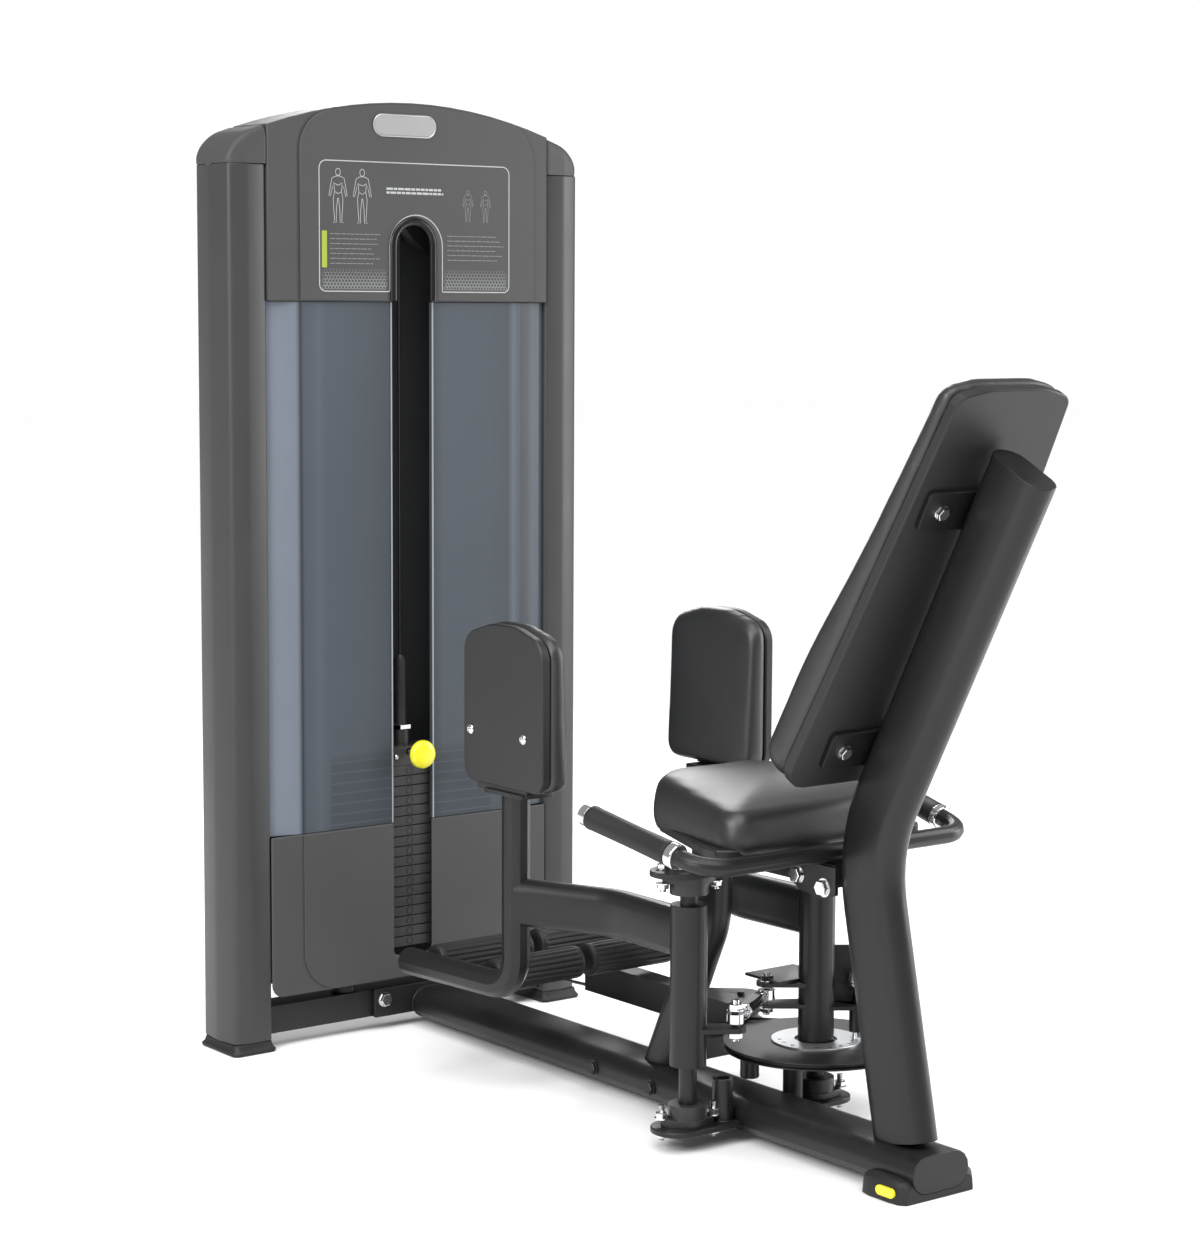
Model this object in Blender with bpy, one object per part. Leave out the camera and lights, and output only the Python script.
"""Hip abductor machine: a weight-stack tower, a seat frame and two mirrored leg arms."""

import math

import bmesh
import bpy
import numpy as np
from mathutils import Matrix, Vector

# ---------------------------------------------------------------- dimensions, metres
GAP = 0.0003              # clearance left between touching pieces
SEAT_X = 0.052            # the seat and base tube are centred here; the tower on X = 0
TOWER_FRONT = 0.606       # front face of the covers
TOWER_BACK = 0.7123
UPRIGHT_IN = 0.262        # inner face of each upright
UPRIGHT_OUT = 0.330
SEAM_Z = 1.364            # joint between upright and cap
ARCH_TOP = 1.466
ARCH_DROP = 0.62          # the roof falls by this times x squared
COVER_LOW = 1.159         # lower edge of the top cover
SHROUD_LOW = 0.335        # lower edge of the two smoked shrouds
LOWER_LOW = 0.082         # lower edge of the bottom cover
SLOT_HALF = 0.0372        # half width of the selector slot
BASE_LOW = 0.0095         # underside of the base tube
BASE_HALF = 0.050
BASE_TALL = 0.050
BASE_END = -0.545
PIVOT_HALF = 0.118        # leg pivots stand this far either side of the seat centre
PIVOT_Y = -0.168
SLEEVE_R = 0.0258
SLEEVE_LOW = 0.115
SLEEVE_TOP = 0.340
SHAFT_R = 0.0125
ARM_Z = 0.298
ARM_TALL = 0.070
ARM_WIDE = 0.040
LEG_HALF = 0.182          # leg tube to seat centre
LEG_Y = 0.148
LEG_R = 0.0205
FOOT_Z = 0.1690
FOOT_LONG = 0.244         # foot tube, from the leg tube forward
FOOT_OUT = 0.024          # and how far it toes out over that length
ROLLER_R = 0.0245
ROLLER_Z = 0.170
ROLLER_Y = (0.231, 0.361)
PAD_Y = 0.134
PAD_OUT = {-1: 0.2165, 1: 0.2090}   # outer face of each pad board, from the seat centre
CAM_Z = 0.1075
CAM_R = 0.133
GROOVE_R = 0.128
PLATE_COUNT = 18
PLATE_PITCH = 0.0163
PLATE_Y = 0.645
STACK_LOW = 0.130
ROD_X = 0.110             # guide rods either side of the selector stem
CROSSBAR = (0.023, 0.066)  # underside and top of the tower's crossbar
CABLE_R = 0.0026
CABLE_X = 0.168
PULLEY_R = 0.018
LEAN = math.radians(27.96)  # the backrest leans back from upright by this


# ---------------------------------------------------------------- helpers
def clear_scene():
    for obj in list(bpy.data.objects):
        bpy.data.objects.remove(obj)


def collection(name):
    made = bpy.data.collections.new(name)
    bpy.context.scene.collection.children.link(made)
    return made


def material(name, colour, rough, metal=0.0):
    """A plain surface: linear colour, roughness and metallic."""
    made = bpy.data.materials.new(name)
    made.use_nodes = True
    surface = made.node_tree.nodes["Principled BSDF"]
    surface.inputs["Base Color"].default_value = (*colour, 1)
    surface.inputs["Roughness"].default_value = rough
    surface.inputs["Metallic"].default_value = metal
    return made


def put(obj, look=None, where=None, cutter=False):
    """Links an object to its collection, gives it its material, and marks a cutter."""
    (CUTTERS if cutter else PARTS).objects.link(obj)
    if look is not None:
        obj.data.materials.clear()
        obj.data.materials.append(look)
    if where is not None:
        obj.matrix_world = where
    if cutter:
        obj.hide_render = True
        obj.display_type = "WIRE"
    return obj


def from_bmesh(name, bm, smooth=None):
    bmesh.ops.recalc_face_normals(bm, faces=bm.faces)
    mesh = bpy.data.meshes.new(name)
    bm.to_mesh(mesh)
    bm.free()
    if smooth is not None:
        mesh.shade_smooth()
        mesh.set_sharp_from_angle(angle=math.radians(smooth))
    return bpy.data.objects.new(name, mesh)


def box(name, centre, size, look=None, cutter=False, turn=None):
    bm = bmesh.new()
    bmesh.ops.create_cube(bm, size=1.0)
    bmesh.ops.scale(bm, vec=Vector(size), verts=bm.verts)
    made = from_bmesh(name, bm)
    where = Matrix.Translation(centre) @ (turn or Matrix())
    return put(made, look, where, cutter)


def cylinder(name, start, end, radius, look=None, sides=20, cutter=False, end_radius=None):
    """A round bar from start to end."""
    start, end = Vector(start), Vector(end)
    along = end - start
    bm = bmesh.new()
    bmesh.ops.create_cone(
        bm, cap_ends=True, segments=sides, radius1=radius,
        radius2=radius if end_radius is None else end_radius, depth=along.length)
    made = from_bmesh(name, bm, 40)
    turn = Vector((0, 0, 1)).rotation_difference(along).to_matrix().to_4x4()
    return put(made, look, Matrix.Translation((start + end) / 2) @ turn, cutter)


def round_corners(points, radii, steps=5):
    """The corners of a closed flat outline, each turned through an arc of its radius."""
    out = []
    count = len(points)
    if isinstance(radii, (int, float)):
        radii = [radii] * count
    for i, radius in enumerate(radii):
        here = Vector(points[i])
        back = (Vector(points[i - 1]) - here).normalized()
        ahead = (Vector(points[(i + 1) % count]) - here).normalized()
        half = back.angle(ahead) / 2
        if radius <= 0 or half > math.radians(89):
            out.append(tuple(here))
            continue
        reach = radius / math.tan(half)
        middle = here + (back + ahead).normalized() * (radius / math.sin(half))
        first = (here + back * reach - middle).normalized()
        last = (here + ahead * reach - middle).normalized()
        for k in range(steps + 1):
            out.append(tuple(middle + first.slerp(last, k / steps) * radius))
    return out


def outline(points, radii=0.0, steps=5):
    """As round_corners, for points given as (u, v)."""
    flat = round_corners([(u, v, 0.0) for u, v in points], radii, steps)
    return [(p[0], p[1]) for p in flat]


def circle(radius, sides=16, centre=(0, 0)):
    turns = [2 * math.pi * k / sides for k in range(sides)]
    return [(centre[0] + radius * math.cos(t), centre[1] + radius * math.sin(t)) for t in turns]


def extrude(name, rings, thickness, look=None, where=None, cutter=False, smooth=30):
    """Flat rings (the first the outline, the rest holes) given a thickness about their plane."""
    curve = bpy.data.curves.new(name, "CURVE")
    curve.dimensions = "2D"
    curve.fill_mode = "BOTH"
    curve.extrude = thickness / 2
    for ring in rings:
        spline = curve.splines.new("POLY")
        spline.points.add(len(ring) - 1)
        for point, (u, v) in zip(spline.points, ring):
            point.co = (u, v, 0, 1)
        spline.use_cyclic_u = True
    return put(solid(name, curve, smooth), look, where, cutter)


def solid(name, curve, smooth=30):
    """The welded mesh of a curve, as a new object."""
    guide = bpy.data.objects.new(name + "_guide", curve)
    bpy.context.scene.collection.objects.link(guide)
    bpy.context.view_layer.update()
    graph = bpy.context.evaluated_depsgraph_get()
    mesh = bpy.data.meshes.new_from_object(guide.evaluated_get(graph))
    bpy.data.objects.remove(guide)
    bpy.data.curves.remove(curve)
    bm = bmesh.new()
    bm.from_mesh(mesh)
    bpy.data.meshes.remove(mesh)
    bmesh.ops.remove_doubles(bm, verts=bm.verts, dist=0.00001)
    return from_bmesh(name, bm, smooth)


def rounded_path(points, radius, steps=6):
    """An open path whose inner corners are turned through arcs of one radius."""
    out = [tuple(points[0])]
    for i in range(1, len(points) - 1):
        here = Vector(points[i])
        back = (Vector(points[i - 1]) - here).normalized()
        ahead = (Vector(points[i + 1]) - here).normalized()
        half = back.angle(ahead) / 2
        reach = radius / math.tan(half)
        middle = here + (back + ahead).normalized() * (radius / math.sin(half))
        first = (here + back * reach - middle).normalized()
        last = (here + ahead * reach - middle).normalized()
        for k in range(steps + 1):
            out.append(tuple(middle + first.slerp(last, k / steps) * radius))
    out.append(tuple(points[-1]))
    return out


def tube(name, path, radius, look=None, resolution=3, cutter=False):
    """A round bar bent along a path."""
    curve = bpy.data.curves.new(name, "CURVE")
    curve.dimensions = "3D"
    curve.bevel_depth = radius
    curve.bevel_resolution = resolution
    curve.use_fill_caps = True
    spline = curve.splines.new("POLY")
    spline.points.add(len(path) - 1)
    for point, place in zip(spline.points, path):
        point.co = (*place, 1)
    return put(solid(name, curve, 40), look, None, cutter)


def oval_tube(name, path, wide, tall, side, look=None, cutter=False, steps=8):
    """A flat-sided oval bar along a path; its wide way lies along the vector side."""
    radius = min(wide, tall) / 2
    flat = max(wide, tall) / 2 - radius
    ring = []
    for end in (1, -1):
        for k in range(steps + 1):
            turn = math.pi * (k / steps - 0.5) + (0 if end > 0 else math.pi)
            ring.append((end * flat + radius * math.cos(turn), radius * math.sin(turn)))
    side = Vector(side).normalized()
    path = [Vector(p) for p in path]
    bm = bmesh.new()
    loops = []
    for i, place in enumerate(path):
        before = (place - path[i - 1]).normalized() if i else None
        after = (path[i + 1] - place).normalized() if i + 1 < len(path) else None
        along = ((before or after) + (after or before)).normalized()
        stretch = 1 / along.dot(after or before)
        across = (side - along * side.dot(along)).normalized()
        other = along.cross(across)
        planar = abs(side.dot(after or before)) > 0.05
        u_scale, v_scale = (stretch, 1) if planar else (1, stretch)
        loops.append([bm.verts.new(place + across * u * u_scale + other * v * v_scale)
                      for u, v in ring])
    for one, two in zip(loops, loops[1:]):
        for k in range(len(ring)):
            n = (k + 1) % len(ring)
            bm.faces.new((one[k], one[n], two[n], two[k]))
    bm.faces.new(loops[0][::-1])
    bm.faces.new(loops[-1])
    return put(from_bmesh(name, bm, 40), look, None, cutter)


def lathe(name, profile, look=None, where=None, sides=20, cutter=False):
    """A turned piece: (radius, height) profile spun about +Z, closed at the axis."""
    bm = bmesh.new()
    rings = []
    for radius, height in profile:
        if radius == 0:
            rings.append([bm.verts.new((0, 0, height))])
            continue
        rings.append([bm.verts.new((radius * math.cos(t), radius * math.sin(t), height))
                      for t in (2 * math.pi * k / sides for k in range(sides))])
    closed = profile[0][0] > 0
    pairs = list(zip(rings, rings[1:])) + ([(rings[-1], rings[0])] if closed else [])
    for one, two in pairs:
        for k in range(sides):
            n = (k + 1) % sides
            quad = [one[k % len(one)], one[n % len(one)], two[n % len(two)], two[k % len(two)]]
            face = list(dict.fromkeys(quad))
            if len(face) > 2:
                bm.faces.new(face)
    return put(from_bmesh(name, bm, 40), look, where, cutter)


def boolean(obj, other, kind):
    made = obj.modifiers.new(kind.lower(), "BOOLEAN")
    made.operation = kind
    made.solver = "EXACT"
    made.object = other
    return obj


def cut(obj, *others):
    for other in others:
        boolean(obj, other, "DIFFERENCE")
    return obj


def join(obj, *others):
    """Welds hidden helper solids on to an object."""
    for other in others:
        boolean(obj, other, "UNION")
    return obj


def frame(x_axis, y_axis, z_axis, origin):
    """The matrix that carries local axes to these world directions."""
    made = Matrix.Identity(4)
    for column, axis in enumerate((x_axis, y_axis, z_axis, origin)):
        for row in range(3):
            made[row][column] = axis[row]
    return made


def facing_front(y):
    """Local (u, v) drawn as world (X, Z) on the upright plane at this Y."""
    return frame((1, 0, 0), (0, 0, 1), (0, -1, 0), (0, y, 0))


def side_plane(x):
    """Local (u, v) drawn as world (Y, Z) on the plane at this X."""
    return frame((0, 1, 0), (0, 0, 1), (1, 0, 0), (x, 0, 0))


# ---------------------------------------------------------------- tower
def roof(x, drop=0.0):
    return ARCH_TOP - ARCH_DROP * x * x - drop


def arch_outline(half, low, drop=0.0, steps=14):
    xs = [half - 2 * half * k / steps for k in range(steps + 1)]
    return [(-half, low), (half, low)] + [(x, roof(x, drop)) for x in xs]


def upright_outline(side):
    """Plan of one upright: flat inside, bowed outside, its front slightly bowed."""
    points = [(UPRIGHT_IN, TOWER_BACK), (UPRIGHT_IN, TOWER_FRONT + 0.004),
              (UPRIGHT_IN + 0.034, TOWER_FRONT + 0.001), (UPRIGHT_OUT - 0.004, TOWER_FRONT + 0.006),
              (UPRIGHT_OUT + 0.002, 0.660), (UPRIGHT_OUT - 0.004, TOWER_BACK)]
    flat = outline(points, [0.003, 0.005, 0.03, 0.010, 0.05, 0.012], 3)
    return [(side * x, y) for x, y in flat]


def build_tower():
    for side, word in ((-1, "left"), (1, "right")):
        plan = upright_outline(side)
        low = 0.0165
        extrude(f"upright_{word}", [plan], SEAM_Z - low, STEEL,
                Matrix.Translation((0, 0, (SEAM_Z + low) / 2)))
        build_cap(side, word)
        build_tower_foot(side, word)
    build_crossbar()
    build_top_beam()
    build_covers()


def build_crossbar():
    """The bar between the uprights, with the two cheeks that hold the bottom pulley."""
    low, high = CROSSBAR
    bar = box("base_crossbar", (0, 0.6475, (low + high) / 2),
              (2 * UPRIGHT_IN - 2 * GAP, 0.050, high - low), STEEL)
    x, y, z = BOTTOM_PULLEY
    cheeks = [box(f"bottom_cheek_{word}", (x + side * 0.0122, y, (high + z) / 2),
                  (0.003, 0.022, z - high + 0.024), cutter=True)
              for side, word in ((-1, "left"), (1, "right"))]
    axle = cylinder("bottom_axle", (x - 0.0135, y, z), (x + 0.0135, y, z), 0.0055, None, 16, True)
    join(bar, *cheeks, axle)


def build_top_beam():
    """The plate across the tower's top, with the hanger that holds the top pulley."""
    turn = Matrix.Rotation(TOP_TURN, 4, "Z")
    x, y, z = TOP_PULLEY
    level = 1.395
    beam = box("top_beam", (0, 0.6605, level), (0.514, 0.090, 0.006), STEEL)
    cut(beam, box("beam_window", (x, y, level), (0.160, 0.026, 0.02), cutter=True, turn=turn))
    across = turn @ Vector((0, 1, 0))
    cheeks = []
    for side, word in ((-1, "front"), (1, "rear")):
        place = Vector((x, y, (z + level) / 2)) + across * (side * 0.0140)
        cheeks.append(box(f"top_cheek_{word}", place, (0.026, 0.003, level - z + 0.028), cutter=True,
                          turn=turn))
    middle = Vector((x, y, z))
    axle = cylinder("top_axle", middle - across * 0.0152, middle + across * 0.0152, 0.0055, None, 16,
                    True)
    join(beam, *cheeks, axle)


def build_cap(side, word):
    """The moulded cap of an upright: its roof follows the arch of the top cover."""
    steps = 6
    inner = UPRIGHT_IN + GAP
    outer = UPRIGHT_OUT + 0.0035
    top = [(inner + (outer - 0.018 - inner) * k / steps,
            roof(inner + (outer - 0.018 - inner) * k / steps)) for k in range(steps + 1)]
    points = [(inner, SEAM_Z + GAP)] + top
    points += [(outer - 0.006, roof(outer) - 0.004), (outer, roof(outer) - 0.014),
               (outer, SEAM_Z + GAP)]
    ring = [(side * u, v) for u, v in points]
    deep = TOWER_BACK - TOWER_FRONT + 0.002
    cap = extrude(f"upright_cap_{word}", [ring], deep, COVER,
                  facing_front((TOWER_FRONT + TOWER_BACK) / 2))
    return cap


def build_tower_foot(side, word):
    """A flared rubber boot under an upright."""
    rings = ((0.0, 0.004), (0.004, 0.005), (0.009, 0.001), (0.0162, -0.0005))
    bm = bmesh.new()
    loops = []
    for height, grow in rings:
        x0, x1 = UPRIGHT_IN - grow - 0.001, UPRIGHT_OUT + grow - 0.001
        y0, y1 = TOWER_FRONT + 0.001 - grow, TOWER_BACK - 0.005 + grow
        ring = outline([(x0, y0), (x1, y0), (x1, y1), (x0, y1)], 0.010, 3)
        loops.append([bm.verts.new((side * x, y, height)) for x, y in ring])
    for one, two in zip(loops, loops[1:]):
        for k in range(len(one)):
            n = (k + 1) % len(one)
            bm.faces.new((one[k], one[n], two[n], two[k]))
    bm.faces.new(loops[0])
    bm.faces.new(loops[-1])
    put(from_bmesh(f"tower_foot_{word}", bm, 30), RUBBER)


def slot_cutter(name, low, high, y, deep):
    """A round-ended upright slot through a front cover."""
    r = SLOT_HALF
    points = outline([(-r, low), (r, low), (r, high), (-r, high)], [0.012, 0.012, 0.036, 0.036], 6)
    return extrude(name, [points], deep, None, facing_front(y), cutter=True)


def build_covers():
    front = TOWER_FRONT
    half = UPRIGHT_IN - GAP
    cover = extrude("top_cover", [arch_outline(half, COVER_LOW)], TOWER_BACK - front - 0.004,
                    COVER, facing_front((front + TOWER_BACK - 0.004) / 2))
    inside = extrude("top_cover_inside", [arch_outline(half - 0.004, 1.10, 0.005)],
                     0.12, None, facing_front(front + 0.004 + 0.06), cutter=True)
    cut(cover, inside, slot_cutter("top_slot", 1.10, 1.283, front, 0.03))
    low = extrude("lower_cover",
                  [outline([(-half, LOWER_LOW), (half, LOWER_LOW), (half, SHROUD_LOW - GAP),
                            (-half, SHROUD_LOW - GAP)], [0.02, 0.02, 0, 0])],
                  0.004, COVER, facing_front(front + 0.004))
    cut(low, slot_cutter("low_slot", 0.119, 0.42, front + 0.004, 0.03))
    build_shrouds()
    rear = extrude("rear_cover", [arch_outline(half, 0.078, 0.006)], 0.0016, SHEET,
                   facing_front(TOWER_BACK - 0.0025))
    return rear


def build_shrouds():
    """Two folded smoked panels between the uprights, either side of the slot."""
    thick = 0.003
    y = TOWER_FRONT + 0.0025
    lip = y + 0.007
    edge = [(UPRIGHT_IN - GAP, y + 0.010), (0.207, y), (SLOT_HALF, y), (SLOT_HALF, lip)]
    back = [(SLOT_HALF + thick, lip), (SLOT_HALF + thick, y + thick),
            (0.206, y + thick), (UPRIGHT_IN - GAP, y + 0.010 + thick)]
    for side, word in ((-1, "left"), (1, "right")):
        ring = [(side * u, v) for u, v in edge + back]
        low, high = SHROUD_LOW, COVER_LOW - GAP
        extrude(f"shroud_{word}", [ring], high - low, SMOKED,
                Matrix.Translation((0, 0, (low + high) / 2)))


# ---------------------------------------------------------------- weight stack
TOP_TURN = math.atan2(0.045, CABLE_X)   # the top pulley is turned to join both falls


def build_stack():
    floor = CROSSBAR[1] + GAP
    for side, word in ((-1, "left"), (1, "right")):
        x = side * ROD_X
        cylinder(f"guide_rod_{word}", (x, PLATE_Y, floor), (x, PLATE_Y, 1.3915), 0.0095, CHROME, 16)
        tall = STACK_LOW - GAP - floor
        lathe(f"stack_buffer_{word}", [(0.0105, 0.0), (0.020, 0.0), (0.020, tall), (0.0105, tall)],
              RUBBER, Matrix.Translation((x, PLATE_Y, floor)), 16)
    top = STACK_LOW + PLATE_COUNT * PLATE_PITCH
    stack = box("weight_stack", (0, PLATE_Y, (STACK_LOW + top) / 2), (0.31, 0.054, top - STACK_LOW),
                IRON)
    cut(stack, *plate_grooves(top), stack_bores())
    build_head(top)


def plate_grooves(top):
    """One comb of thin frames that parts the stack into plates at their edges."""
    comb = [(0.20, STACK_LOW - 0.01)]
    for k in range(1, PLATE_COUNT):
        z = STACK_LOW + k * PLATE_PITCH
        comb += [(0.20, z - 0.0008), (0.152, z - 0.0008), (0.152, z + 0.0008), (0.20, z + 0.0008)]
    comb += [(0.20, top + 0.01), (0.21, top + 0.01), (0.21, STACK_LOW - 0.01)]
    ends = []
    for side, word in ((-1, "left"), (1, "right")):
        ring = [(side * u, v) for u, v in comb]
        ends.append(extrude(f"stack_comb_{word}", [ring], 0.08, None, facing_front(PLATE_Y),
                            cutter=True))
    ring = [(PLATE_Y - 0.027 - (u - 0.155), v) for u, v in comb]
    face = extrude("stack_comb_front", [ring], 0.36, None, side_plane(0), cutter=True)
    return [*ends, face]


def stack_bores():
    """Bores for both guide rods and the selector stem, as one cutter."""
    bm = bmesh.new()
    for x, radius in ((-ROD_X, 0.0125), (0.0, 0.0115), (ROD_X, 0.0125)):
        where = Matrix.Translation((x, PLATE_Y, 0.30))
        bmesh.ops.create_cone(bm, cap_ends=True, segments=12, radius1=radius, radius2=radius,
                              depth=0.6, matrix=where)
    return put(from_bmesh("stack_bores", bm), None, None, True)


def build_head(top):
    """The head plate with its stem, and the selector pin through it."""
    low = top + 0.0006
    high = low + 0.030
    head = box("head_plate", (0, PLATE_Y, (low + high) / 2), (0.31, 0.054, high - low), IRON)
    stem = lathe("head_stem", [(0, STACK_LOW + 0.012), (0.0095, STACK_LOW + 0.012), (0.0095, high + 0.02),
                               (0.011, high + 0.02), (0.011, high + 0.135), (0.006, high + 0.145),
                               (0, high + 0.145)][::-1], None, Matrix.Translation((0, PLATE_Y, 0)),
                 16, True)
    collar = lathe("head_collar", [(0, high - 0.004), (0.016, high - 0.004), (0.016, high + 0.025),
                                   (0, high + 0.025)][::-1], None,
                   Matrix.Translation((0, PLATE_Y, 0)), 16, True)
    bores = bmesh.new()
    for x in (-ROD_X, ROD_X):
        bmesh.ops.create_cone(bores, cap_ends=True, segments=12, radius1=0.0125, radius2=0.0125,
                              depth=0.1, matrix=Matrix.Translation((x, PLATE_Y, high - 0.01)))
    cutter = put(from_bmesh("head_bores", bores), None, None, True)
    pin_z = low + 0.0215
    hole = cylinder("pin_hole", (0, 0.56, pin_z), (0, 0.6335, pin_z), 0.0058, None, 12, True)
    join(head, stem, collar)
    cut(head, cutter, hole)
    cylinder("selector_pin", (0, 0.5995, pin_z), (0, 0.632, pin_z), 0.0048, CHROME, 12)
    lathe("selector_knob", [(0, 0.0), (0.012, 0.0), (0.0215, 0.006), (0.0225, 0.012), (0.0205, 0.018),
                            (0.009, 0.021), (0.009, 0.028), (0, 0.028)][::-1], YELLOW,
          frame((1, 0, 0), (0, 0, -1), (0, 1, 0), (0, 0.5712, pin_z)), 20)


# ---------------------------------------------------------------- pulleys and cable
def pulley_profile(radius, half=0.010, bore=0.006):
    """A grooved wheel's section about its axis; radius is that of the cable's centre line."""
    rim = radius + 0.005
    floor = radius - CABLE_R - 0.0006
    return [(bore, -half), (rim, -half), (rim, -half + 0.002), (floor, -0.003), (floor, 0.003),
            (rim, half - 0.002), (rim, half), (bore, half)]


TOP_PULLEY_R = math.hypot(CABLE_X, 0.045) / 2
TOP_PULLEY = (CABLE_X / 2, 0.6675, 1.325)
BOTTOM_PULLEY = (CABLE_X, 0.690 - PULLEY_R, 0.0735 + PULLEY_R)
IDLER_R = 0.030
IDLER = (CABLE_X + IDLER_R, 0.030, CAM_Z)


def build_pulleys():
    across = Vector((-math.sin(TOP_TURN), math.cos(TOP_TURN), 0))
    lathe("top_pulley", pulley_profile(TOP_PULLEY_R), NYLON,
          frame((0, 0, 1), across.cross((0, 0, 1)), across, TOP_PULLEY), 28)
    lathe("bottom_pulley", pulley_profile(PULLEY_R), NYLON,
          frame((0, 0, 1), (0, -1, 0), (1, 0, 0), BOTTOM_PULLEY), 24)
    lathe("idler_pulley", pulley_profile(IDLER_R), NYLON, Matrix.Translation(IDLER), 24)


def arc(centre, first, second, start, end, radius, steps):
    """Points on an arc in the plane of two unit vectors."""
    centre, first, second = Vector(centre), Vector(first), Vector(second)
    out = []
    for k in range(steps + 1):
        t = math.radians(start + (end - start) * k / steps)
        out.append(tuple(centre + first * radius * math.cos(t) + second * radius * math.sin(t)))
    return out


def build_cable():
    """The whole run from the cam's groove to the tangent point above the stack."""
    right = SEAT_X + PIVOT_HALF
    apart = Vector((IDLER[0] - right, IDLER[1] - PIVOT_Y))
    leaves = math.atan2(apart.y, apart.x) - math.acos((GROOVE_R + IDLER_R) / apart.length)
    leaves = math.degrees(leaves)
    path = arc((right, PIVOT_Y, CAM_Z), (1, 0, 0), (0, 1, 0), -40, leaves, GROOVE_R, 14)
    path += arc(IDLER, (1, 0, 0), (0, 1, 0), 180 + leaves, 180, IDLER_R, 5)
    drop = Vector((BOTTOM_PULLEY[1] - IDLER[1], BOTTOM_PULLEY[2] - CAM_Z))
    dips = math.degrees(math.asin(PULLEY_R / drop.length) - math.atan2(drop.y, drop.x))
    path += arc(BOTTOM_PULLEY, (0, 1, 0), (0, 0, 1), -90 - dips, 0, PULLEY_R, 8)
    out = Vector((math.cos(TOP_TURN), math.sin(TOP_TURN), 0))
    path += arc(TOP_PULLEY, out, (0, 0, 1), 0, 180, TOP_PULLEY_R, 14)
    tube("cable_run", path, CABLE_R, CABLE, 1)
    low = STACK_LOW + PLATE_COUNT * PLATE_PITCH + 0.0306 + 0.145 + GAP
    cylinder("cable_drop", (0, PLATE_Y, low), (0, PLATE_Y, TOP_PULLEY[2] - GAP), CABLE_R, CABLE, 8)


# ---------------------------------------------------------------- base and seat frame
def build_base():
    z = BASE_LOW + BASE_TALL / 2
    oval_tube("base_tube", [(SEAT_X, BASE_END, z), (SEAT_X, 0.6160, z)], 2 * BASE_HALF, BASE_TALL,
              (1, 0, 0), STEEL)
    tube_obj = bpy.data.objects["base_tube"]
    plate = extrude("joint_plate", [outline([(SEAT_X - 0.122, 0.0215), (SEAT_X + 0.122, 0.0215),
                                             (SEAT_X + 0.122, 0.0675), (SEAT_X - 0.122, 0.0675)], 0.003, 2)],
                    0.008, None, facing_front(0.618), cutter=True)
    join(tube_obj, plate)
    build_rear_foot()
    build_post()
    build_seat_frame()
    build_lower_brackets()
    build_guard()


def build_rear_foot():
    """The rubber boot wrapped under the end of the base tube."""
    half = BASE_HALF
    bm = bmesh.new()
    sections = ((-0.544, 0.010), (-0.536, 0.017), (-0.520, 0.0195), (-0.480, 0.0195), (-0.466, 0.016),
                (-0.459, 0.008))
    loops = []
    for y, grow in sections:
        flat = outline([(-half - grow, 0.0), (half + grow, 0.0), (half + grow * 0.8, 0.012 + grow),
                        (-half - grow * 0.8, 0.012 + grow)], [0.002, 0.002, 0.008, 0.008], 3)
        loops.append([bm.verts.new((SEAT_X + u, y, v)) for u, v in flat])
    for one, two in zip(loops, loops[1:]):
        for k in range(len(one)):
            n = (k + 1) % len(one)
            bm.faces.new((one[k], one[n], two[n], two[k]))
    bm.faces.new(loops[0])
    bm.faces.new(loops[-1])
    foot = put(from_bmesh("rear_foot", bm, 30), RUBBER)
    z = BASE_LOW + BASE_TALL / 2
    cut(foot, oval_tube("foot_socket", [(SEAT_X, -0.60, z), (SEAT_X, -0.40, z)],
                        2 * BASE_HALF + 2 * GAP, BASE_TALL + 2 * GAP, (1, 0, 0), cutter=True))


POST_CORNER = (-0.3963, 0.4428)
POST_TOP = 0.585


def post_point(s, n=0.0):
    """A point of the leaning post: s up along it from (Y -0.4314, Z 0.509), n out in front."""
    up = Vector((0, -math.sin(LEAN), math.cos(LEAN)))
    out = Vector((0, math.cos(LEAN), math.sin(LEAN)))
    return Vector((SEAT_X, -0.4314, 0.509)) + up * s + out * n


def post_plane(n, x=SEAT_X):
    """Local (u, v) drawn as world X and up the post, on the plane n in front of its centre."""
    up = Vector((0, -math.sin(LEAN), math.cos(LEAN)))
    out = Vector((0, math.cos(LEAN), math.sin(LEAN)))
    origin = post_point(0, n)
    return frame((-1, 0, 0), up, out, (x, origin.y, origin.z))


def build_post():
    low = BASE_LOW + BASE_TALL + GAP
    start = (SEAT_X, POST_CORNER[0] - 0.2144 * (POST_CORNER[1] - low), low)
    corner = (SEAT_X, POST_CORNER[0], POST_CORNER[1])
    end = post_point(0.505)
    path = rounded_path([start, corner, end], 0.222, 8)
    oval_tube("back_post", path, 0.100, 0.050, (0, 1, 0), STEEL)
    post = bpy.data.objects["back_post"]
    for s, word in ((0.051, "low"), (0.4166, "high")):
        ring = outline([(-0.088, s - 0.028), (0.088, s - 0.028), (0.088, s + 0.028), (-0.088, s + 0.028)],
                       0.008, 3)
        bracket = extrude(f"bracket_{word}", [ring], 0.006, None, post_plane(0.0515), cutter=True)
        join(post, bracket)
    trim = box("post_trim", (SEAT_X, -0.45, low - 0.05), (0.3, 0.4, 0.1), cutter=True)
    cut(post, trim)


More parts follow.
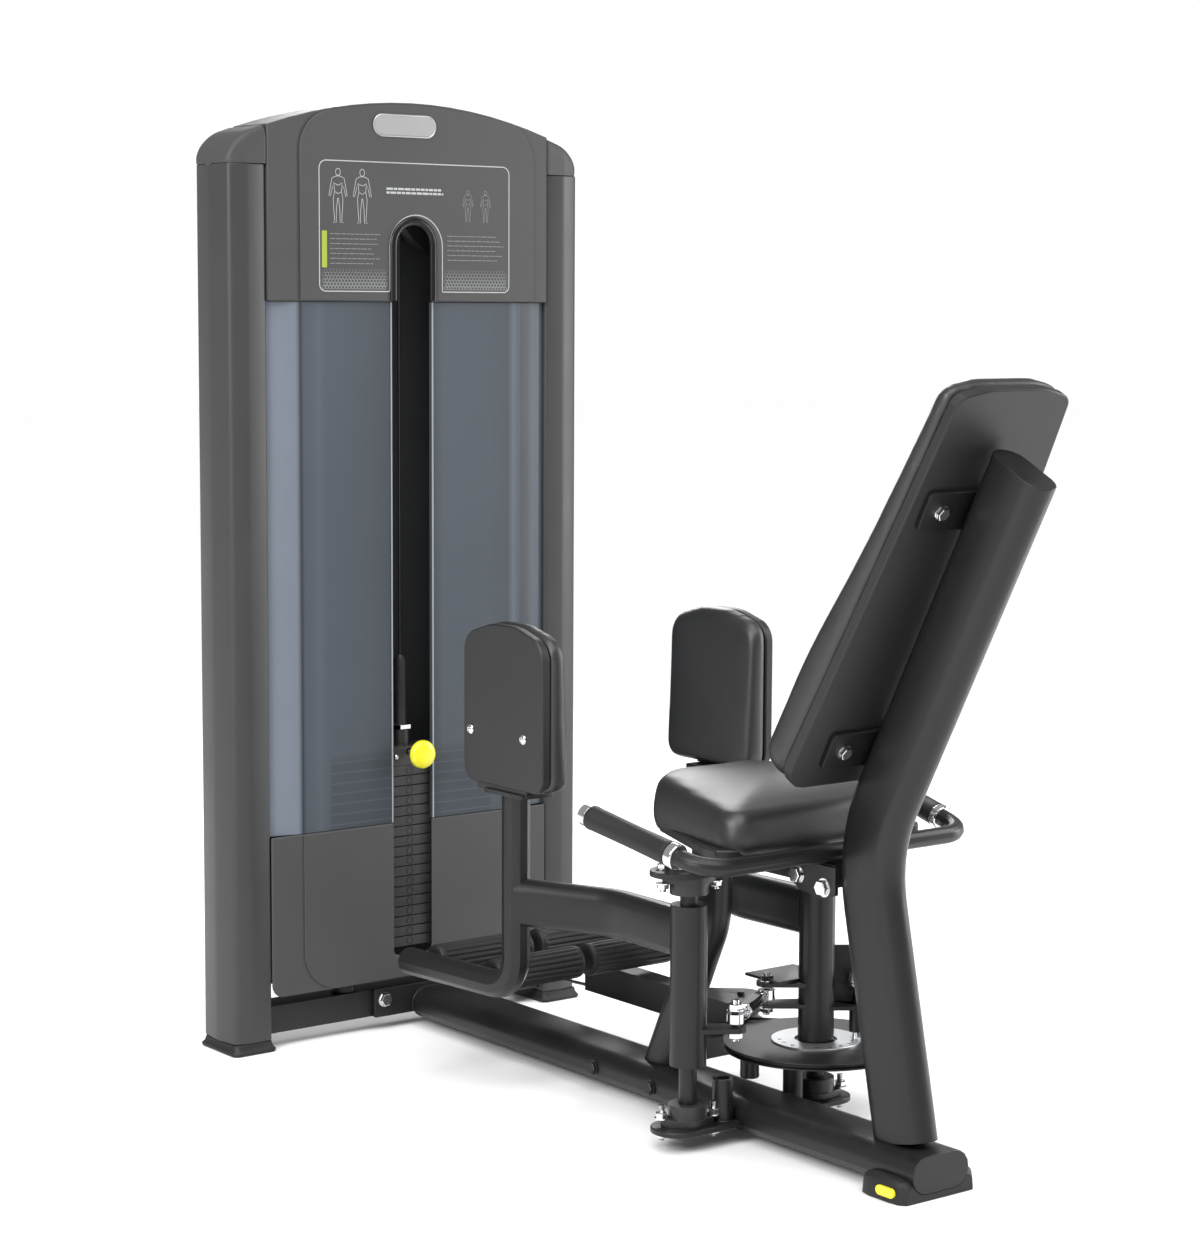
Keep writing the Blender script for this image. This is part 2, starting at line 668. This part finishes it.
def build_seat_frame():
    """The seat's upright, its spine back to the post and the cross plate of the pivots."""
    low = BASE_LOW + BASE_TALL + GAP
    path = rounded_path([(SEAT_X, 0.040, low - 0.02), (SEAT_X, -0.076, 0.285), (SEAT_X, -0.080, 0.405)],
                        0.10, 5)
    oval_tube("seat_frame", path, 0.060, 0.044, (0, 1, 0), STEEL)
    upright = bpy.data.objects["seat_frame"]
    spine = box("seat_spine", (SEAT_X, -0.206, 0.3965), (0.044, 0.300, 0.031), cutter=True)
    rest = box("seat_rest", (SEAT_X, -0.190, 0.4200), (0.120, 0.200, 0.0194), cutter=True)
    cross = extrude("pivot_cross", [outline([(SEAT_X - 0.176, -0.205), (SEAT_X + 0.176, -0.205),
                                             (SEAT_X + 0.176, -0.131), (SEAT_X - 0.176, -0.131)], 0.034, 5)],
                    0.008, None, Matrix.Translation((0, 0, 0.3861)), cutter=True)
    gusset = extrude("post_gusset", [outline([(-0.250, 0.398), (-0.290, 0.370), (-0.335, 0.364),
                                              (-0.3625, 0.372), (-0.3625, 0.410), (-0.320, 0.410)],
                                             [0.004, 0.008, 0.010, 0.002, 0.002, 0.004], 3)],
                     0.006, None, side_plane(SEAT_X - 0.0235), cutter=True)
    join(upright, spine, rest, cross, gusset)
    trim = box("frame_trim", (SEAT_X, 0, low - 0.05), (0.3, 0.4, 0.1), cutter=True)
    bores = bmesh.new()
    for side in (-1, 1):
        bmesh.ops.create_cone(bores, cap_ends=True, segments=16, radius1=0.0145, radius2=0.0145,
                              depth=0.05, matrix=Matrix.Translation((SEAT_X + side * PIVOT_HALF,
                                                                     PIVOT_Y, 0.386)))
    cut(upright, trim, put(from_bmesh("pivot_bores", bores), None, None, True))


def bearing(name, x, low, high, look, up=1):
    """A two-bolt flange bearing: a flat diamond flange and a round housing with its bore."""
    turn = math.radians(-20)
    points = [(0.051, 0.0), (0.0, 0.032), (-0.051, 0.0), (0.0, -0.032)]
    points = [(u * math.cos(turn) - v * math.sin(turn), u * math.sin(turn) + v * math.cos(turn))
              for u, v in points]
    ring = outline(points, [0.014, 0.026, 0.014, 0.026], 4)
    middle = low + 0.005 if up > 0 else high - 0.005
    flange = extrude(name, [ring], 0.010, look, Matrix.Translation((x, PIVOT_Y, middle)))
    body = cylinder(name + "_body", (x, PIVOT_Y, low + 0.001), (x, PIVOT_Y, high - 0.001), 0.027, None,
                    20, True)
    bore = cylinder(name + "_bore", (x, PIVOT_Y, low - 0.02), (x, PIVOT_Y, high + 0.02),
                    SHAFT_R + GAP, None, 20, True)
    join(flange, body)
    cut(flange, bore)


def build_lower_brackets():
    """Flat plates welded to each side of the base tube, which carry the lower bearings."""
    for side, word in ((-1, "left"), (1, "right")):
        x = SEAT_X + side * PIVOT_HALF
        inner = SEAT_X + side * (BASE_HALF + GAP)
        far = x + side * 0.054
        points = [(inner, -0.205), (far, -0.205), (far, -0.131), (inner, -0.131)]
        ring = outline(points, [0.0, 0.034, 0.034, 0.0], 5)
        where = Matrix.Translation((0, 0, 0.0275))
        plate = extrude(f"lower_bracket_{word}", [ring], 0.008, STEEL, where)
        post_x = SEAT_X + side * (BASE_HALF + 0.0150)
        post_y = PIVOT_Y - 0.012
        stop = lathe(f"stop_post_{word}", [(0.0095, 0.0), (0.0145, 0.0), (0.0145, 0.061),
                                           (0.0095, 0.061)], None,
                     Matrix.Translation((post_x, post_y, 0.030)), 16, True)
        base = cylinder(f"stop_base_{word}", (post_x, post_y, 0.029), (post_x, post_y, 0.040), 0.0140,
                        None, 16, True)
        join(plate, stop, base)
        bearing(f"bearing_lower_{word}", x, 0.0318, 0.062, IRON)
        bearing(f"bearing_upper_{word}", x, 0.3540, 0.3817, IRON, -1)


def build_guard():
    """The channel over the cable beside the base tube, with the housing of its idler."""
    low, high, wall = 0.0875, 0.1350, 0.003
    near, far = CABLE_X - 0.018, CABLE_X + 0.018
    duct = box("cable_guard", (CABLE_X, 0.2125, (low + high) / 2), (far - near, 0.275, high - low),
               STEEL)
    bore = box("guard_bore", (CABLE_X, 0.205, high - wall - 0.05), (far - near - 2 * wall, 0.310, 0.100),
               cutter=True)
    foot = box("guard_foot", (0.1225, 0.028, 0.0740), (0.085, 0.060, 0.030), cutter=True)
    side_wall = box("idler_wall", (near + wall / 2, 0.035, (low + high) / 2), (wall, 0.090, high - low),
                    cutter=True)
    lids = []
    corners = [(near, -0.015), (near + 0.088, -0.015), (near + 0.088, 0.055), (far, 0.100),
               (near, 0.100)]
    for z, word in ((low + wall / 2, "low"), (high - wall / 2, "high")):
        lids.append(extrude(f"idler_lid_{word}", [outline(corners, [0.012, 0.040, 0.025, 0.01, 0.0], 4)],
                            wall, None, Matrix.Translation((0, 0, z)), cutter=True))
    way = box("cable_way", (CABLE_X, 0.090, 0.100), (0.012, 0.040, 0.030), cutter=True)
    axle = cylinder("idler_axle", (IDLER[0], IDLER[1], low - 0.002), (IDLER[0], IDLER[1], high + 0.006),
                    0.0055, None, 16, True)
    base = oval_tube("guard_saddle", [(SEAT_X, 0.0, BASE_LOW + BASE_TALL / 2),
                                      (SEAT_X, 0.4, BASE_LOW + BASE_TALL / 2)],
                     2 * BASE_HALF + 2 * GAP, BASE_TALL + 2 * GAP, (1, 0, 0), cutter=True)
    cut(duct, bore)
    join(duct, side_wall, *lids, foot, axle)
    cut(duct, base, way)


# ---------------------------------------------------------------- seat and backrest
def seat_plan(grow=0.0):
    half = [(0.185, -0.325), (0.192, -0.290), (0.118, -0.085), (0.070, -0.050)]
    points = [(u + grow, v + (grow if v > -0.2 else -grow)) for u, v in half]
    points += [(-u, v) for u, v in points[::-1]]
    radii = [0.030, 0.060, 0.050, 0.050]
    return outline([(SEAT_X + u, v) for u, v in points], radii + radii[::-1], 4)


def back_plan(grow=0.0):
    """The backrest's outline: narrow and arched at the top, wide at the bottom."""
    points = [(-0.138 - grow, -0.008 - grow), (0.138 + grow, -0.008 - grow),
              (0.098 + grow, 0.574 + grow), (0.050, 0.586 + grow), (-0.050, 0.586 + grow),
              (-0.098 - grow, 0.574 + grow)]
    return outline(points, [0.035, 0.035, 0.018, 0.12, 0.12, 0.018], 4)


def cushion(name, flat, low, high, where, look, edge=0.008, slope=0.0):
    """A plain closed pad: the flat outline given a height, that may fall with v, and a chamfered edge."""
    middle = Vector((sum(u for u, _ in flat) / len(flat), sum(v for _, v in flat) / len(flat)))
    bm = bmesh.new()
    loops = []
    for height, inset in ((low, 0.0), (high - edge, 0.0), (high, edge)):
        ring = []
        for u, v in flat:
            away = (Vector((u, v)) - middle)
            place = middle + away * (1 - inset / away.length)
            fall = slope * v if height > low else 0.0
            ring.append(bm.verts.new((place.x, place.y, height + fall)))
        loops.append(ring)
    for one, two in zip(loops, loops[1:]):
        for k in range(len(one)):
            n = (k + 1) % len(one)
            bm.faces.new((one[k], one[n], two[n], two[k]))
    bm.faces.new(loops[0])
    bm.faces.new(loops[-1])
    return put(from_bmesh(name, bm, 35), look, where)


def build_seat():
    extrude("seat_board", [seat_plan(-0.006)], 0.012, BOARD, Matrix.Translation((0, 0, 0.4362)))
    cushion("seat_cushion", seat_plan(), 0.4425, 0.500, Matrix(), VINYL, 0.012)
    extrude("back_board", [back_plan()], 0.015, BOARD, post_plane(0.0548 + 0.0075))
    cushion("back_cushion", back_plan(0.003), 0.0, 0.052, post_plane(0.0701), VINYL, 0.012, -0.036)
    build_handles()


def build_handles():
    path = [(SEAT_X - 0.262, -0.135, 0.4712), (SEAT_X - 0.234, -0.345, 0.4280),
            (SEAT_X + 0.234, -0.345, 0.4280), (SEAT_X + 0.262, -0.135, 0.4712)]
    tube("handle_bar", rounded_path(path, 0.045, 6), 0.0125, STEEL)
    for side, word in ((-1, "left"), (1, "right")):
        rear, fore = Vector(path[1 if side < 0 else 2]), Vector(path[0 if side < 0 else 3])
        along = (fore - rear).normalized()
        start, end = fore - along * 0.150, fore - along * 0.002
        grip = cylinder(f"grip_{word}", start, end, 0.0165, RUBBER, 20)
        bore = cylinder(f"grip_{word}_bore", start - along * 0.02, end + along * 0.02, 0.0130, None, 20,
                        True)
        cut(grip, bore)


# ---------------------------------------------------------------- leg arms
def pivot(side):
    return SEAT_X + side * PIVOT_HALF


def build_arm(side, word):
    x = pivot(side)
    low = CAM_Z + 0.0056 if side > 0 else SLEEVE_LOW
    sleeve = cylinder(f"{word}_sleeve", (x, PIVOT_Y, low), (x, PIVOT_Y, SLEEVE_TOP), SLEEVE_R, STEEL, 24)
    shaft = cylinder(f"{word}_shaft", (x, PIVOT_Y, 0.0340), (x, PIVOT_Y, 0.3930), SHAFT_R, None, 20, True)
    join(sleeve, shaft)
    start = (x, PIVOT_Y, ARM_Z)
    bend = (x - side * 0.004, 0.000, ARM_Z)
    leg = (SEAT_X + side * LEG_HALF, LEG_Y, ARM_Z)
    arm = oval_tube(f"{word}_arm", rounded_path([start, bend, leg], 0.10, 4), ARM_TALL, ARM_WIDE,
                    (0, 0, 1), STEEL)
    keep_off = cylinder(f"{word}_arm_cope", (x, PIVOT_Y, 0.2), (x, PIVOT_Y, 0.4), SLEEVE_R + GAP, None, 24,
                        True)
    foot = Vector((SEAT_X + side * (LEG_HALF + FOOT_OUT), LEG_Y + FOOT_LONG, FOOT_Z))
    path = [(leg[0], LEG_Y, 0.462), (leg[0], LEG_Y, FOOT_Z), tuple(foot)]
    leg_tube = tube(f"{word}_leg_tube", rounded_path(path, 0.045, 6), LEG_R, None, 3, True)
    rear_cut = box(f"{word}_arm_trim", (x, PIVOT_Y - 0.05, ARM_Z), (0.12, 0.10, 0.12), cutter=True)
    board_x = SEAT_X + side * (PAD_OUT[side] - 0.007)
    tab = box(f"{word}_pad_tab", (board_x, PAD_Y + 0.008, 0.5100), (0.004, 0.120, 0.100), cutter=True)
    near, far = leg[0] - side * 0.024, SEAT_X + side * PAD_OUT[side]
    shelf = extrude(f"{word}_pad_shelf", [outline([(near, PAD_Y - 0.046), (far, PAD_Y - 0.046),
                                                   (far, PAD_Y + 0.046), (near, PAD_Y + 0.046)],
                                                  0.004, 2)],
                    0.006, None, Matrix.Translation((0, 0, 0.4605)), cutter=True)
    cut(arm, keep_off, rear_cut)
    join(arm, leg_tube, shelf, tab)
    build_rollers(side, word, leg[0])
    build_pad(side, word)
    return sleeve


def build_rollers(side, word, leg_x):
    for y, end in zip(ROLLER_Y, ("rear", "front")):
        x = leg_x + side * FOOT_OUT * (y - LEG_Y) / FOOT_LONG
        outer = x - side * (LEG_R + 0.0035)
        inner = SEAT_X + side * 0.008
        core = cylinder(f"{word}_peg_{end}", (x, y, ROLLER_Z), (inner + side * 0.002, y, ROLLER_Z), 0.011,
                        None, 12, True)
        boolean(bpy.data.objects[f"{word}_arm"], core, "UNION")
        roller = cylinder(f"{word}_roller_{end}", (outer, y, ROLLER_Z), (inner, y, ROLLER_Z), ROLLER_R,
                          RUBBER, 20)
        bore = cylinder(f"{word}_roller_{end}_bore", (outer + side * 0.05, y, ROLLER_Z),
                        (inner + side * 0.0017, y, ROLLER_Z), 0.0113, None, 12, True)
        cut(roller, bore)


def build_pad(side, word):
    """A thigh pad: board outside, cushion facing the sitter's thigh."""
    def plan(half, low, high):
        points = [(PAD_Y - half, low), (PAD_Y + half, low), (PAD_Y + half, high - 0.022),
                  (PAD_Y + half * 0.45, high), (PAD_Y - half * 0.45, high), (PAD_Y - half, high - 0.022)]
        return outline(points, [0.022, 0.022, 0.03, 0.05, 0.05, 0.03], 3)
    outer = SEAT_X + side * PAD_OUT[side]
    board = extrude(f"{word}_pad_board", [plan(0.097, 0.470, 0.704)], 0.014, BOARD,
                    side_plane(outer - side * 0.007))
    cut(board, box(f"{word}_tab_slot", (outer - side * 0.007, PAD_Y + 0.008, 0.5102),
                   (0.0048, 0.1210, 0.1010), cutter=True))
    turn = frame((0, 1, 0), (0, 0, 1), (-side, 0, 0), (outer - side * (0.014 + GAP), 0, 0))
    cushion(f"{word}_pad_cushion", plan(0.100, 0.468, 0.706), 0.0, 0.058, turn, VINYL, 0.010, -0.051)
    return board


LINK_Z = 0.181
NEAR_PIN = (0.0510, -0.0400)   # from the left pivot
FAR_PIN = (-0.0590, 0.0400)    # from the right pivot


def lug(name, at, pin, z, thick, cutter=True):
    """A flat finger from a sleeve to its link pin."""
    reach = Vector(pin)
    angle = math.atan2(reach.y, reach.x)
    ring = outline([(0, -0.020), (reach.length + 0.015, -0.015), (reach.length + 0.015, 0.015),
                    (0, 0.020)], [0, 0.0145, 0.0145, 0], 5)
    where = Matrix.Translation((at[0], at[1], z)) @ Matrix.Rotation(angle, 4, "Z")
    return extrude(name, [ring], thick, None, where, cutter=cutter)


def build_linkage(left, right):
    here = (pivot(-1), PIVOT_Y)
    there = (pivot(1), PIVOT_Y)
    pin = (here[0] + NEAR_PIN[0], here[1] + NEAR_PIN[1])
    low = lug("left_lug", here, NEAR_PIN, 0.1655, 0.007)
    bolt = cylinder("left_bolt", (*pin, 0.158), (*pin, 0.201), 0.0050, None, 12, True)
    join(left, low, bolt)
    far = (there[0] + FAR_PIN[0], there[1] + FAR_PIN[1])
    for z, word in ((0.1660, "low"), (0.1965, "high")):
        join(right, lug(f"clevis_{word}", there, FAR_PIN, z, 0.006))
    join(right, box("range_plate", (0.153, -0.122, 0.2022), (0.092, 0.074, 0.004), cutter=True))
    start, end = Vector((*pin, LINK_Z)), Vector((*far, LINK_Z))
    along = (end - start).normalized()
    rod = cylinder("link_rod", start + along * 0.010, end - along * 0.010, 0.0052, CHROME, 12)
    body = cylinder("link_body", start + along * 0.045, end - along * 0.045, 0.0095, None, 6, True)
    parts = [body]
    bores = []
    for place, word in ((start, "near"), (end, "far")):
        up = Vector((0, 0, 0.0065))
        parts.append(cylinder(f"eye_{word}", place - up, place + up, 0.0125, None, 20, True))
        bores.append(cylinder(f"eye_{word}_bore", place - up * 2, place + up * 2, 0.0053, None, 12, True))
        sign = 1 if word == "near" else -1
        nut = place + along * (0.024 * sign)
        parts.append(cylinder(f"nut_{word}", nut, nut + along * (0.008 * sign), 0.0100, None, 6, True))
    rod.name = "turnbuckle"
    join(rod, *parts)
    cut(rod, *bores)


def build_cam(right):
    x = pivot(1)
    bore = SHAFT_R + GAP
    floor = GROOVE_R - CABLE_R - 0.0005
    profile = [(bore, -0.0052), (CAM_R, -0.0052), (CAM_R, -0.0032), (floor, -0.0030), (floor, 0.0030),
               (CAM_R, 0.0032), (CAM_R, 0.0052), (bore, 0.0052)]
    cam = lathe("cam", profile, STEEL, Matrix.Translation((x, PIVOT_Y, CAM_Z)), 48)
    bumper = cylinder("cam_bumper", (x - 0.110, PIVOT_Y + 0.016, CAM_Z - 0.034),
                      (x - 0.110, PIVOT_Y + 0.016, CAM_Z - 0.004), 0.0135, None, 16, True)
    hole = cylinder("cam_pin_hole", (x + 0.046, PIVOT_Y - 0.034, CAM_Z - 0.02),
                    (x + 0.046, PIVOT_Y - 0.034, CAM_Z + 0.02), 0.0062, None, 12, True)
    join(cam, bumper)
    cut(cam, hole)
    post = (x + 0.046, PIVOT_Y - 0.034)
    shelf = box("adjuster_shelf", (x + 0.034, PIVOT_Y - 0.025, 0.163), (0.070, 0.040, 0.005),
                cutter=True, turn=Matrix.Rotation(math.atan2(-0.034, 0.046), 4, "Z"))
    wall = box("adjuster_wall", (x + 0.040, PIVOT_Y - 0.008, 0.205), (0.040, 0.005, 0.085), cutter=True,
               turn=Matrix.Rotation(math.atan2(-0.034, 0.046), 4, "Z"))
    guide = cylinder("adjuster_guide", (*post, 0.126), (*post, 0.1640), 0.0100, None, 16, True)
    bore_cut = cylinder("adjuster_bore", (*post, 0.10), (*post, 0.25), 0.0060, None, 12, True)
    join(right, shelf, wall, guide)
    cut(right, bore_cut)
    lathe("pull_pin", [(0, 0.0985), (0.0048, 0.100), (0.0055, 0.103), (0.0055, 0.186), (0.013, 0.188),
                       (0.0145, 0.200), (0.012, 0.212), (0, 0.214)][::-1], CHROME,
          Matrix.Translation((*post, 0.0)), 16)


def main():
    build_tower()
    build_stack()
    build_pulleys()
    build_cable()
    build_base()
    build_seat()
    left = build_arm(-1, "left")
    right = build_arm(1, "right")
    build_linkage(left, right)
    build_cam(right)


clear_scene()
PARTS = collection("hip_abductor_machine")
CUTTERS = collection("cutters")
STEEL = material("black_powder_coat", (0.022, 0.022, 0.023), 0.42)
COVER = material("dark_grey_cover", (0.060, 0.061, 0.063), 0.45)
SMOKED = material("smoked_shroud", (0.130, 0.145, 0.165), 0.25)
SHEET = material("grey_sheet", (0.050, 0.052, 0.055), 0.5)
RUBBER = material("black_rubber", (0.015, 0.015, 0.015), 0.75)
IRON = material("black_iron", (0.020, 0.020, 0.021), 0.5)
CHROME = material("chrome", (0.75, 0.76, 0.78), 0.12, 1.0)
NYLON = material("black_nylon", (0.02, 0.02, 0.02), 0.4)
CABLE = material("coated_cable", (0.012, 0.012, 0.012), 0.35)
YELLOW = material("yellow_plastic", (0.85, 0.78, 0.02), 0.35)
VINYL = material("black_vinyl", (0.016, 0.016, 0.017), 0.45)
BOARD = material("black_board", (0.020, 0.020, 0.021), 0.55)
main()
